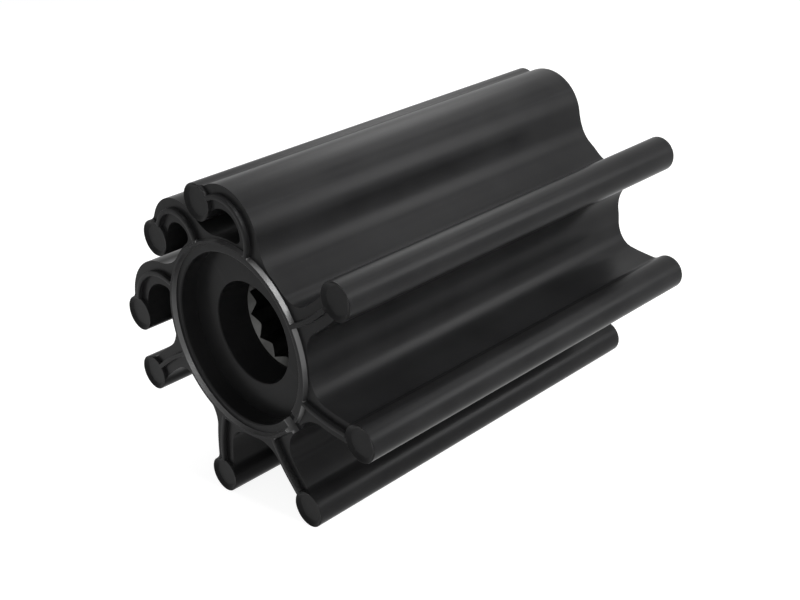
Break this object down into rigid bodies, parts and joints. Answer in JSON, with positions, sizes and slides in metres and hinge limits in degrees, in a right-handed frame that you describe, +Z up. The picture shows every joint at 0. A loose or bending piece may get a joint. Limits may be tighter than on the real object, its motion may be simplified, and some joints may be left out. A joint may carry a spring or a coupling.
{
  "type": "rubber pump impeller",
  "caption": "Black rubber flexible-vane pump impeller on a splined metal insert, lying on two vanes, with the upper vanes folded over.",
  "frame": {"origin": "on the shaft axis at half length", "axes": "+Y along the shaft axis, away from the notched end; +Z up, as the impeller lies on two of its vanes"},
  "size_m": [0.0609, 0.0788, 0.0565],
  "materials": {
    "rubber": "satin",
    "insert_metal": "satin"
  },
  "bodies": {
    "root": {"rubber_impeller": "rubber", "hub_insert": "insert_metal"}
  },
  "joints": []
}
